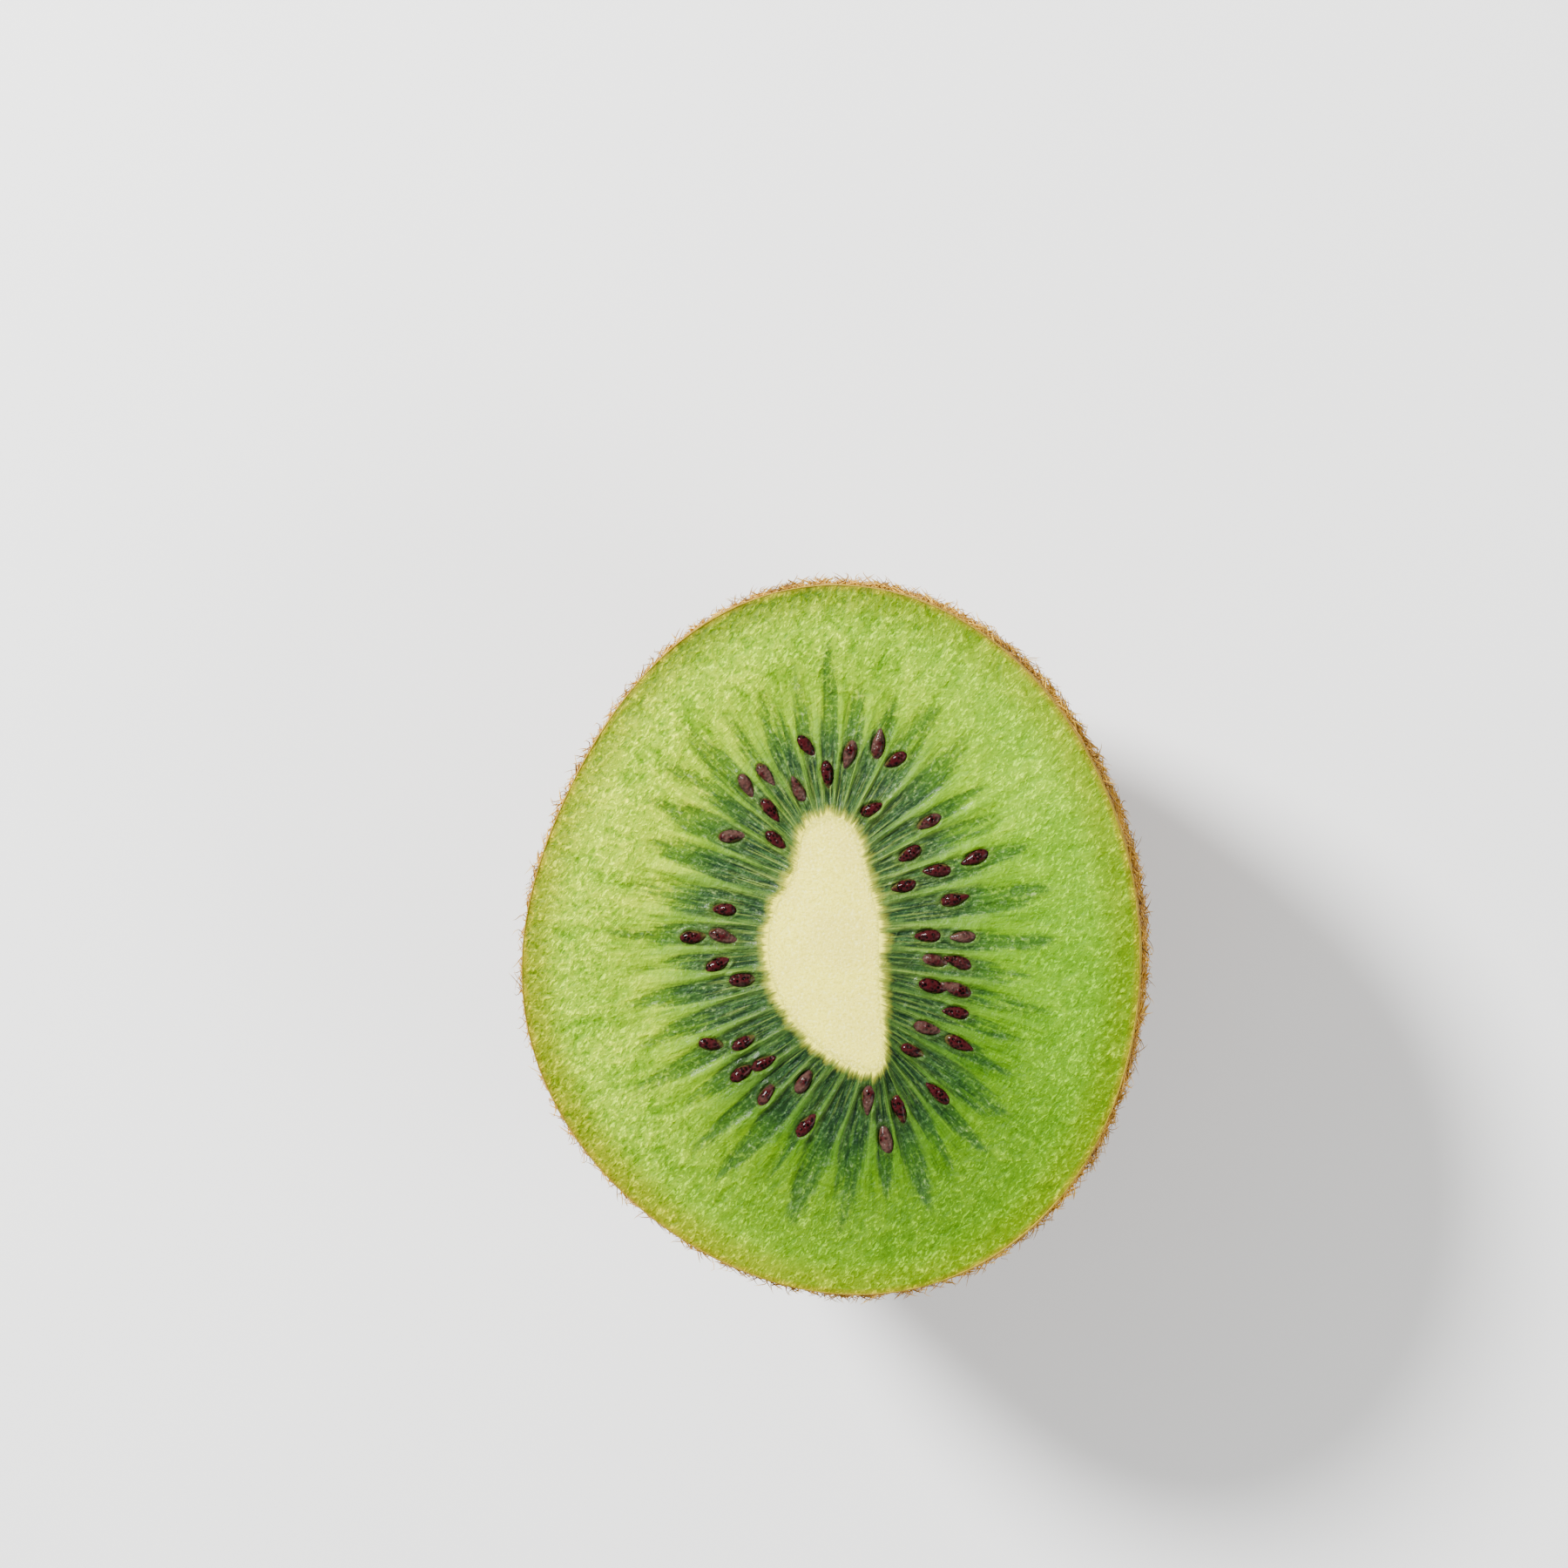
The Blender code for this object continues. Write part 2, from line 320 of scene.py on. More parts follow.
def closed_loft(rings, first, last):
    """Points and outward triangles of a closed body: rings of points, with a single point at each end."""
    count, around = rings.shape[:2]
    points = np.concatenate([rings.reshape(-1, 3), [first, last]])
    ring, i = np.meshgrid(np.arange(count - 1), np.arange(around), indexing="ij")
    here, there = ring * around + i, ring * around + (i + 1) % around
    quads = np.stack([here, there, there + around, here + around], axis=-1).reshape(-1, 4)
    i = np.arange(around)
    j = (i + 1) % around
    last_ring, last_points = (count - 1) * around, np.full(around, count * around)
    low = np.stack([last_points, j, i], axis=-1)
    high = np.stack([last_points + 1, last_ring + i, last_ring + j], axis=-1)
    faces = np.concatenate([quads[:, [0, 1, 2]], quads[:, [0, 2, 3]], low, high])
    corners = points[faces]
    volume = np.einsum("ij,ij->i", corners[:, 0], np.cross(corners[:, 1], corners[:, 2])).sum()
    return points, faces if volume > 0 else faces[:, ::-1]


def add_piece(name, points, faces, material, attributes=None, sharp=None):
    """A smooth mesh object, with a number or a vector for each point under each attribute's name."""
    mesh = bpy.data.meshes.new(name)
    mesh.vertices.add(len(points))
    mesh.vertices.foreach_set("co", (points * MM).astype(np.float32).ravel())
    mesh.loops.add(faces.size)
    mesh.loops.foreach_set("vertex_index", faces.astype(np.int32).ravel())
    mesh.polygons.add(len(faces))
    mesh.polygons.foreach_set("loop_start", np.arange(0, faces.size, 3, dtype=np.int32))
    mesh.update(calc_edges=True)
    for key, values in (attributes or {}).items():
        is_vector = values.ndim == 2
        layer = mesh.attributes.new(key, "FLOAT_VECTOR" if is_vector else "FLOAT", "POINT")
        layer.data.foreach_set("vector" if is_vector else "value", values.astype(np.float32).ravel())
    mesh.shade_smooth()
    if sharp is not None:
        mesh.set_sharp_from_angle(angle=math.radians(sharp))
    mesh.materials.append(material)
    piece = bpy.data.objects.new(name, mesh)
    bpy.context.scene.collection.objects.link(piece)
    return piece


def with_ends(values, first, last):
    """The values of a loft's rings, followed by those of its two end points."""
    return np.concatenate([values.reshape(-1, *values.shape[2:]), [first, last]])


# Node helpers

def new_material(name):
    """A material with a cleared tree, its Principled shader and the tree."""
    material = bpy.data.materials.new(name)
    material.use_nodes = True
    tree = material.node_tree
    tree.nodes.clear()
    output = tree.nodes.new("ShaderNodeOutputMaterial")
    shader = tree.nodes.new("ShaderNodeBsdfPrincipled")
    tree.links.new(shader.outputs[0], output.inputs["Surface"])
    return material, tree, shader


def set_inputs(tree, node, inputs):
    """Gives a node's inputs their values, and links those whose value is a socket."""
    for key, value in inputs.items():
        if isinstance(value, bpy.types.NodeSocket):
            tree.links.new(value, node.inputs[key])
        else:
            node.inputs[key].default_value = value


def add_node(tree, kind, inputs, **settings):
    node = tree.nodes.new(kind)
    for key, value in settings.items():
        setattr(node, key, value)
    set_inputs(tree, node, inputs)
    return node


def attribute(tree, name, output="Fac"):
    """A number, or with output="Vector" a vector, that the mesh has under this name."""
    return add_node(tree, "ShaderNodeAttribute", {}, attribute_name=name).outputs[output]


def object_place(tree):
    return add_node(tree, "ShaderNodeTexCoord", {}).outputs["Object"]


def stretched(tree, vector, scale):
    """A place scaled along each axis."""
    return add_node(tree, "ShaderNodeMapping", {"Vector": vector, "Scale": scale}).outputs[0]


def turned(tree, vector, angle):
    """A place turned about +Z."""
    return add_node(tree, "ShaderNodeMapping", {"Vector": vector, "Rotation": (0.0, 0.0, angle)}).outputs[0]


def noise_value(tree, vector, scale, detail=2.0, roughness=0.5, distortion=0.0):
    inputs = {"Vector": vector, "Scale": scale, "Detail": detail}
    inputs |= {"Roughness": roughness, "Distortion": distortion}
    return add_node(tree, "ShaderNodeTexNoise", inputs).outputs["Fac"]


def flowing(tree, flow, across, along, detail=2.0, roughness=0.5, distortion=0.0):
    """Noise drawn out along the rays, with so many features across them and along them."""
    scaled = stretched(tree, flow, (across, across, along))
    return noise_value(tree, scaled, 1.0, detail, roughness, distortion)


def ranged(tree, value, low, high, to_low=0.0, to_high=1.0):
    """value from low to high, smoothly turned into to_low to to_high."""
    inputs = {"Value": value, "From Min": low, "From Max": high, "To Min": to_low, "To Max": to_high}
    return add_node(tree, "ShaderNodeMapRange", inputs, interpolation_type="SMOOTHSTEP").outputs[0]


def maths(tree, operation, first, second):
    """The result of an operation on two values or sockets."""
    return add_node(tree, "ShaderNodeMath", {0: first, 1: second}, operation=operation).outputs[0]


def times(tree, first, second):
    return maths(tree, "MULTIPLY", first, second)


def plus(tree, first, second):
    return maths(tree, "ADD", first, second)


def mixed(tree, share, first, second, blend="MIX"):
    """Two colours mixed, each given as three numbers or as a socket."""
    first, second = ((*c, 1.0) if isinstance(c, tuple) else c for c in (first, second))
    node = add_node(tree, "ShaderNodeMix", {0: share}, data_type="RGBA", blend_type=blend)
    for index, colour in ((6, first), (7, second)):
        if isinstance(colour, tuple):
            node.inputs[index].default_value = colour
        else:
            tree.links.new(colour, node.inputs[index])
    return node.outputs[2]


def tinted(tree, colour, tint, value, low, high, most=1.0):
    """A colour that turns into another, by at most a share, as a value goes from low to high."""
    return mixed(tree, ranged(tree, value, low, high, 0.0, most), colour, tint)


def ramp(tree, value, stops):
    """Colours along a value, as (place, colour) pairs."""
    node = add_node(tree, "ShaderNodeValToRGB", {0: value})
    elements = node.color_ramp.elements
    while len(elements) < len(stops):
        elements.new(1.0)
    for element, (place, colour) in zip(elements, stops):
        element.position = place
        element.color = (*colour, 1.0)
    return node.outputs[0]


def bump(tree, height, distance, normal=None):
    """Relief of a height in millimetres, on top of another relief's normal if one is given."""
    inputs = {"Height": height, "Distance": distance * MM, "Strength": 1.0}
    if normal is not None:
        inputs["Normal"] = normal
    return add_node(tree, "ShaderNodeBump", inputs).outputs[0]


def per_mm(count):
    """Noise scale that gives this many features in a millimetre of object space, which is in metres."""
    return count / MM


# Colours, in linear light

CREAM = (0.93, 0.86, 0.08)
CORE_FRINGE = (0.42, 0.42, 0.03)
RIGHT_FLESH = (0.096, 0.236, 0.000)
# Left side lighter and yellower: partly the flesh's own tone, partly painted light from the upper-left lamp
LEFT_FLESH_TONE_AND_LIGHT = (0.200, 0.345, 0.000)
LOW_FLESH = (0.058, 0.145, 0.002)
RIM_RIGHT = (0.106, 0.190, 0.000)
RIM_LEFT = (0.138, 0.200, 0.000)
YELLOW_RIM = (0.165, 0.178, 0.000)
OUTERMOST = (0.175, 0.155, 0.003)
SEPTUM = (0.073, 0.160, 0.018)
INNER_GROUND = (0.048, 0.096, 0.020)
SEPTUM_LINE = (0.115, 0.220, 0.022)
LOW_TINT = (0.50, 0.60, 0.60)
# Tint of the chambers, also used as painted shade in the radial grooves
CHAMBER_TINT_AND_GROOVE_SHADE = (0.30, 0.42, 0.60)
CHAMBER_OUTER = (0.039, 0.083, 0.025)
CHAMBER_INNER = (0.030, 0.077, 0.020)
CHAMBER_DEEP = (0.010, 0.027, 0.010)
CHAMBER_GLINT = (0.110, 0.190, 0.055)
FIBRE_PALE = (0.150, 0.220, 0.040)
SEED_HALO = (0.090, 0.150, 0.012)
SEED_FOOT = (0.055, 0.050, 0.012)
# Painted highlights: gains that lighten the pale parts of the commas and cells
HIGHLIGHT_FLECK_GAIN = (2.15, 1.95, 1.0)
PALE_GAIN = (1.55, 1.31, 1.0)
# Painted highlight on the tops of the broad swells
SWELL_HIGHLIGHT_GAIN = (1.34, 1.22, 1.0)
# Painted highlight on the flowing ridges
RIDGE_HIGHLIGHT_GAIN = (1.32, 1.20, 1.0)
DARK_RIM_TINT = (0.54, 0.61, 0.27)
# Painted highlights: small sparkles in the chambers
SPARKLE_GAIN = (2.3, 1.8, 2.2)
FLESH_SHADE = (0.46, 0.62, 0.50)
# Painted light on the ridges between the radial grooves
GROOVE_RIDGE_HIGHLIGHT_GAIN = (1.60, 1.42, 1.0)
COMMA_SLANT = math.radians(-50.0)

CORE_CREAM = (0.86, 0.77, 0.10)
CORE_DARK_GRAIN = (0.74, 0.66, 0.05)
CORE_PALE_GRAIN = (1.00, 0.98, 0.28)

SEED_PIT = (0.001, 0.0002, 0.0002)
SEED_BODY = (0.034, 0.0036, 0.0050)
SEED_PATCH = (0.042, 0.010, 0.010)
SEED_FILM = (0.078, 0.042, 0.032)

SKIN_RED = (0.110, 0.046, 0.005)
SKIN_OLIVE = (0.085, 0.050, 0.005)
SKIN_PALE_GRAIN = (0.190, 0.090, 0.012)
SKIN_DARK_GRAIN = (0.040, 0.016, 0.003)
SKIN_DOWN = (0.330, 0.150, 0.026)
SKIN_RIM = (0.280, 0.190, 0.012)

HAIR_TONES = (
    (0.0, (0.070, 0.021, 0.002)),
    (0.35, (0.165, 0.056, 0.005)),
    (0.7, (0.320, 0.122, 0.012)),
    (1.0, (0.500, 0.230, 0.032)),
)
HAIR_TIP = (0.45, 0.22, 0.03)
HAIR_GOLDEN_GAIN = (1.8, 2.4, 1.6)

SCAR_DARK = (0.030, 0.013, 0.005)
SCAR_PALE = (0.130, 0.068, 0.028)

FLOOR_DARK = (0.86, 0.86, 0.85)
FLOOR_PALE = (0.89, 0.89, 0.88)


def flesh_ground(tree, share, left_side):
    """The flesh's colour by side and by distance from the core, without its marks."""
    # Lighter on the left: partly the flesh's own tone, partly painted light from the upper-left lamp
    body = mixed(tree, left_side, RIGHT_FLESH, LEFT_FLESH_TONE_AND_LIGHT)
    body = mixed(tree, attribute(tree, "low_side"), body, LOW_FLESH)
    rim = tinted(tree, RIM_RIGHT, RIM_LEFT, left_side, 0.2, 0.9)
    body = tinted(tree, body, rim, share, 0.80, 0.97, 0.85)
    body = mixed(tree, attribute(tree, "pale"), body, PALE_GAIN, "MULTIPLY")
    body = mixed(tree, attribute(tree, "dark_rim"), body, DARK_RIM_TINT, "MULTIPLY")
    body = mixed(tree, attribute(tree, "yellow_rim"), body, YELLOW_RIM)
    body = tinted(tree, body, OUTERMOST, share, 0.968, 0.996, 0.70)
    body = tinted(tree, body, SEPTUM, share, 0.50, 0.20)
    return tinted(tree, body, INNER_GROUND, share, 0.26, 0.08)


def with_marks(tree, body, share, left_side, cells, swells, commas, ridges):
    """The flesh's colour with painted highlights on the pale parts of its flecks, swells and ridges and
    painted shade on their dark parts, as if lit from the upper left.
    """
    outer = ranged(tree, share, 0.40, 0.72, 0.25, 1.0)
    # The painted shade is strongest on the left, where the upper-left lamp grazes the relief
    shaded = times(tree, outer, ranged(tree, left_side, 0.0, 0.6, 0.55, 1.0))
    # The ridges' painted light and shade lie mostly on the left, where the lamp grazes
    ridged = times(tree, ranged(tree, share, 0.25, 0.45), ranged(tree, share, 0.95, 0.70))
    ridged = times(tree, ridged, ranged(tree, left_side, 0.0, 0.7, 0.5, 1.0))
    for mark, low, high, weight, gain, where in (
        # Commas and cells: painted highlights, then painted shade
        (commas, 0.59, 0.65, 1.0, HIGHLIGHT_FLECK_GAIN, outer),
        (commas, 0.46, 0.34, 0.9, FLESH_SHADE, shaded),
        (cells, 0.54, 0.70, 0.2, HIGHLIGHT_FLECK_GAIN, outer),
        (cells, 0.48, 0.32, 0.25, FLESH_SHADE, shaded),
        # Swells: painted light and painted shade over broad relief
        (swells, 0.52, 0.68, 1.0, SWELL_HIGHLIGHT_GAIN, outer),
        (swells, 0.48, 0.32, 0.65, FLESH_SHADE, shaded),
        # Ridges: painted light and painted shade
        (ridges, 0.52, 0.64, 1.0, RIDGE_HIGHLIGHT_GAIN, ridged),
        (ridges, 0.48, 0.36, 0.7, FLESH_SHADE, ridged),
    ):
        marked = times(tree, ranged(tree, mark, low, high, 0.0, weight), where)
        body = mixed(tree, marked, body, gain, "MULTIPLY")
    return body


def chamber_colour(tree, body, share, streak, dashes):
    """The dark green of a seed chamber, deeper and streaked near the core."""
    inner = tinted(tree, CHAMBER_INNER, CHAMBER_DEEP, streak, 0.60, 0.42)
    outer = mixed(tree, 0.30, mixed(tree, 1.0, body, CHAMBER_TINT_AND_GROOVE_SHADE, "MULTIPLY"), CHAMBER_OUTER)
    deep = tinted(tree, inner, outer, share, 0.20, 0.46)
    near_core = ranged(tree, share, 0.45, 0.22)
    dark_dashes = times(tree, ranged(tree, dashes, 0.48, 0.34, 0.0, 0.85), near_core)
    deep = mixed(tree, dark_dashes, deep, CHAMBER_DEEP)
    return tinted(tree, deep, CHAMBER_GLINT, dashes, 0.56, 0.68, 0.6)


def with_chambers(tree, body, share, flow, streak, dashes, dots):
    """The flesh's colour with the seed chambers, and painted highlights in them: small pale dots that stand
    in for wet sparkles.
    """
    edge = flowing(tree, flow, 2.4, 0.28, 3.0, 0.6)
    unevenness = ranged(tree, share, 0.35, 0.65, 0.30, 0.14)
    uneven = times(tree, ranged(tree, edge, 0.3, 0.7, -1.0, 1.0), unevenness)
    chamber = ranged(tree, plus(tree, attribute(tree, "locule"), uneven), 0.18, 0.80)
    colour = mixed(tree, chamber, body, chamber_colour(tree, body, share, streak, dashes))
    # Painted highlights: the pale dots in the chambers
    sparkle_area = times(tree, chamber, ranged(tree, share, 0.10, 0.26))
    return mixed(tree, times(tree, sparkle_area, ranged(tree, dots, 0.54, 0.66)), colour, SPARKLE_GAIN, "MULTIPLY")


def with_rays(tree, colour, share, flow, thread):
    """The flesh's colour with painted shade in the radial grooves and painted light on the ridges between
    them, and the walls and fibres that run out from the core.
    """
    grooves = flowing(tree, flow, 2.4, 0.22, 3.0, 0.65)
    rayed = ranged(tree, share, 0.80, 0.36, 0.0, 0.80)
    # Painted shade in the grooves, then painted light on the ridges
    groove = times(tree, ranged(tree, grooves, 0.50, 0.34), rayed)
    colour = mixed(tree, groove, colour, CHAMBER_TINT_AND_GROOVE_SHADE, "MULTIPLY")
    ridge = times(tree, ranged(tree, grooves, 0.55, 0.68), rayed)
    colour = mixed(tree, ridge, colour, GROOVE_RIDGE_HIGHLIGHT_GAIN, "MULTIPLY")
    wall = times(tree, attribute(tree, "septum"), ranged(tree, thread, 0.35, 0.62, 0.05, 0.65))
    colour = mixed(tree, wall, colour, SEPTUM_LINE)
    fibre = times(tree, attribute(tree, "fibre"), ranged(tree, thread, 0.46, 0.62))
    return mixed(tree, fibre, colour, FIBRE_PALE)


def with_core_fringe(tree, colour, share, flow, thread):
    """The flesh's colour with its soft, scalloped edge at the pale core."""
    scallops = flowing(tree, flow, 1.3, 0.5)
    fuzzy = plus(tree, share, ranged(tree, scallops, 0.3, 0.7, -0.012, 0.012))
    fuzzy = plus(tree, fuzzy, ranged(tree, thread, 0.3, 0.7, -0.006, 0.006))
    colour = tinted(tree, colour, CORE_FRINGE, fuzzy, 0.055, 0.005, 0.6)
    return tinted(tree, colour, CREAM, fuzzy, 0.022, -0.004)


def flesh_material():
    material, tree, shader = new_material("kiwi_flesh")
    share = attribute(tree, "share")
    left_side = attribute(tree, "left_side")
    flow = attribute(tree, "flow", "Vector")
    place = object_place(tree)
    # These noises make bumps, and with_marks also paints highlights and shade from them into the colour
    cells = noise_value(tree, place, per_mm(2.2), 2.0, 0.6, 0.3)
    swells = noise_value(tree, place, per_mm(0.8), 2.0, 0.5, 0.8)
    slanted = stretched(tree, turned(tree, place, COMMA_SLANT), (per_mm(2.2), per_mm(4.8), per_mm(3.0)))
    commas = noise_value(tree, slanted, 1.0, 1.0, 0.5, 1.0)
    ridges = flowing(tree, flow, 0.75, 0.16, 2.0, 0.6, 0.5)
    streak = flowing(tree, flow, 3.0, 0.40, 3.0, 0.6)
    dashes = flowing(tree, flow, 4.2, 1.7, 2.0, 0.6, 0.4)
    thread = flowing(tree, flow, 5.5, 0.30)
    dots = noise_value(tree, place, per_mm(3.0), 1.0, 0.5, 0.4)
    fine = noise_value(tree, place, per_mm(4.5), 2.0, 0.6)

    colour = flesh_ground(tree, share, left_side)
    colour = with_marks(tree, colour, share, left_side, cells, swells, commas, ridges)
    colour = with_chambers(tree, colour, share, flow, streak, dashes, dots)
    colour = with_rays(tree, colour, share, flow, thread)
    colour = mixed(tree, times(tree, attribute(tree, "halo"), 0.20), colour, SEED_HALO)
    colour = mixed(tree, attribute(tree, "low_inner"), colour, LOW_TINT, "MULTIPLY")
    colour = with_core_fringe(tree, colour, share, flow, thread)

    dry = ranged(tree, share, 0.30, 0.60, 0.0, 0.14)
    relief = bump(tree, swells, 0.22)
    over = ((cells, 0.05), (commas, 0.06), (ridges, 0.16), (streak, 0.07), (dashes, 0.05), (dots, 0.04))
    for height, depth in (*over, (fine, 0.02)):
        relief = bump(tree, height, depth, relief)
    inputs = {
        "Base Color": colour,
        "Roughness": plus(tree, ranged(tree, fine, 0.3, 0.7, 0.24, 0.40), dry),
        "Normal": relief,
        "Subsurface Weight": 0.15,
        "Subsurface Radius": (0.8, 1.0, 0.25),
        "Subsurface Scale": 0.7 * MM,
        "Specular IOR Level": 0.05,
        "Coat Weight": 0.02,
        "Coat Roughness": 0.08,
    }
    set_inputs(tree, shader, inputs)
    return material


def core_material():
    material, tree, shader = new_material("kiwi_core")
    place = object_place(tree)
    grain = noise_value(tree, place, per_mm(4.5), 2.0, 0.65)
    broad = noise_value(tree, place, per_mm(0.25), 2.0)
    colour = tinted(tree, CREAM, CORE_CREAM, broad, 0.35, 0.65)
    colour = tinted(tree, colour, CORE_DARK_GRAIN, grain, 0.50, 0.66, 0.9)
    colour = tinted(tree, colour, CORE_PALE_GRAIN, grain, 0.46, 0.32, 0.8)
    fringe = plus(tree, attribute(tree, "edge"), ranged(tree, grain, 0.35, 0.65, -0.03, 0.03))
    colour = tinted(tree, colour, CORE_FRINGE, fringe, 0.90, 1.03, 0.7)
    inputs = {
        "Base Color": colour,
        "Roughness": 0.45,
        "Normal": bump(tree, grain, 0.07),
        "Subsurface Weight": 0.08,
        "Subsurface Radius": (1.0, 0.9, 0.5),
        "Subsurface Scale": 0.6 * MM,
        "Specular IOR Level": 0.25,
        "Coat Weight": 0.05,
        "Coat Roughness": 0.2,
    }
    set_inputs(tree, shader, inputs)
    return material


def seed_material():
    material, tree, shader = new_material("kiwi_seed")
    place = object_place(tree)
    pits = add_node(tree, "ShaderNodeTexVoronoi", {"Vector": place, "Scale": per_mm(3.6)}).outputs["Distance"]
    broad = noise_value(tree, place, per_mm(1.1), 2.0)
    colour = tinted(tree, SEED_PIT, SEED_BODY, pits, 0.28, 0.60)
    colour = tinted(tree, colour, SEED_PATCH, broad, 0.50, 0.75, 0.4)
    film = times(tree, attribute(tree, "film"), ranged(tree, broad, 0.35, 0.62))
    colour = mixed(tree, film, colour, SEED_FILM)
    foot = plus(tree, attribute(tree, "rise"), ranged(tree, broad, 0.3, 0.7, -0.35, 0.35))
    colour = tinted(tree, colour, SEED_FOOT, foot, 0.42, 0.10, 0.8)
    inputs = {
        "Base Color": colour,
        "Roughness": 0.17,
        "Normal": bump(tree, pits, 0.14),
        "Specular IOR Level": 0.02,
        "Coat Weight": 0.11,
        "Coat Roughness": 0.05,
    }
    set_inputs(tree, shader, inputs)
    return material


def curling_lines(tree, vector, scale, width):
    """1 along the thin curling lines where a noise crosses its middle, 0 between them."""
    level = noise_value(tree, vector, scale, 1.0, 0.5, 1.4)
    away = maths(tree, "ABSOLUTE", maths(tree, "SUBTRACT", level, 0.5), 0.0)
    return ranged(tree, away, width, 0.3 * width)


def skin_material():
    material, tree, shader = new_material("kiwi_skin")
    place = object_place(tree)
    patches = noise_value(tree, place, per_mm(0.10), 3.0, 0.6)
    grain = noise_value(tree, place, per_mm(1.6), 3.0, 0.65)
    down = curling_lines(tree, place, per_mm(0.9), 0.05)
    colour = tinted(tree, SKIN_RED, SKIN_OLIVE, patches, 0.38, 0.62)
    colour = tinted(tree, colour, SKIN_PALE_GRAIN, grain, 0.40, 0.66, 0.8)
    colour = tinted(tree, colour, SKIN_DARK_GRAIN, grain, 0.42, 0.25, 0.7)
    colour = mixed(tree, times(tree, down, 0.7), colour, SKIN_DOWN)
    colour = mixed(tree, attribute(tree, "rim"), colour, SKIN_RIM)
    relief = bump(tree, down, 0.06, bump(tree, grain, 0.12))
    inputs = {"Base Color": colour, "Roughness": 0.85, "Normal": relief, "Specular IOR Level": 0.2}
    set_inputs(tree, shader, inputs)
    return material


def fuzz_material():
    material, tree, shader = new_material("kiwi_fuzz")
    colour = ramp(tree, attribute(tree, "tone"), HAIR_TONES)
    colour = tinted(tree, colour, HAIR_TIP, attribute(tree, "along"), 0.2, 1.0, 0.30)
    colour = mixed(tree, attribute(tree, "golden"), colour, HAIR_GOLDEN_GAIN, "MULTIPLY")
    set_inputs(tree, shader, {"Base Color": colour, "Roughness": 0.55, "Specular IOR Level": 0.25})
    return material


def scar_material():
    material, tree, shader = new_material("kiwi_scar")
    place = object_place(tree)
    grain = noise_value(tree, place, per_mm(2.0), 3.0, 0.65)
    colour = tinted(tree, SCAR_DARK, SCAR_PALE, grain, 0.35, 0.65)
    set_inputs(tree, shader, {"Base Color": colour, "Roughness": 0.85, "Normal": bump(tree, grain, 0.08)})
    return material


# Seeds

def seed_rows(draw):
    """Angle and share of each seed: up to two in a chamber, and now and then a stray further out."""
    for chamber in range(CHAMBERS):
        for low, high, chance in SEED_ROWS:
            taken, share, aside = draw.random() < chance, draw.uniform(low, high), draw.uniform(-0.22, 0.22)
            if taken:
                yield TURN * (chamber + 0.5 + aside) / CHAMBERS, share


def crown_height(share):
    """Height of the flesh between the chambers and the rim over the cut's plane."""
    return FLESH_CROWN * eased(0.50, 0.80, share) * (1.0 - eased(0.86, 1.0, share))


def ray_strength(share):
    """1 where chambers and the walls between them are in full relief, 0 where there are none."""
    return (1.0 - eased(RAY_FULL, RAY_END, share)) * eased(0.0, 0.10, share)


def solid_relief(angle, share):
    """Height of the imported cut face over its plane."""
    wall = np.cos(CHAMBERS * chamber_angle(angle))
    return crown_height(share) + ray_strength(share) * (RAY_HEIGHT * wall - CHAMBER_SINK)


def seed_places():
    """Where each seed lies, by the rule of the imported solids, as (centre, heading, tilt, size)."""
    draw = random.Random(SEED_DRAW)
    placed = []
    kept = []
    for even_angle, share in seed_rows(draw):
        angle = true_angle(even_angle)
        twist, tilt = draw.gauss(0.0, 0.24), draw.uniform(-0.20, 0.20)
        size, flipped = draw.uniform(0.88, 1.08), draw.random() < 0.3
        flat = face_flat(angle, share, CORE_GAP)
        point = Vector((*flat, float(solid_relief(angle, share))))
        low = Vector((*flat, -CHAMBER_SINK - SEED_SUNK))
        if any((point - other).length < SEED_CLEARANCE for other in kept):
            continue
        ahead = face_flat(angle, share + 0.05, CORE_GAP) - flat
        heading = math.atan2(ahead[1], ahead[0]) + twist + (math.pi if flipped else 0.0)
        kept.append(low)
        placed.append((np.array(flat), heading, tilt, size))
    return placed


SEED_PLACES = seed_places()


def seed_form(size, salt):
    """One teardrop seed about its own middle, with its narrow end towards -X."""
    turn = np.linspace(0.0, math.pi, SEED_RINGS + 2)[1:-1]
    along, around = np.meshgrid(turn, ring_angles(SEED_RAYS), indexing="ij")
    x = -np.cos(along)
    taper = 1.0 + 0.25 * x - 0.12 * x * x
    point = -0.16 * np.exp(-(((x + 1.0) / 0.22) ** 2))
    radius = np.sin(along) ** 0.92 * taper
    ahead = (x + point) * SEED_LENGTH / 2
    aside = radius * np.cos(around) * SEED_WIDTH / 2 * SEED_SLIMMER
    rings = np.stack([ahead, aside, radius * np.sin(around) * SEED_THICKNESS / 2], axis=-1) * size
    rings *= 1.0 + 0.035 * noise(rings * 4.5 + 31.7 * salt, salt)[..., None]
    ends = [[-1.18 * SEED_LENGTH / 2 * size, 0.0, 0.0], [SEED_LENGTH / 2 * size, 0.0, 0.0]]
    return closed_loft(rings, *ends)


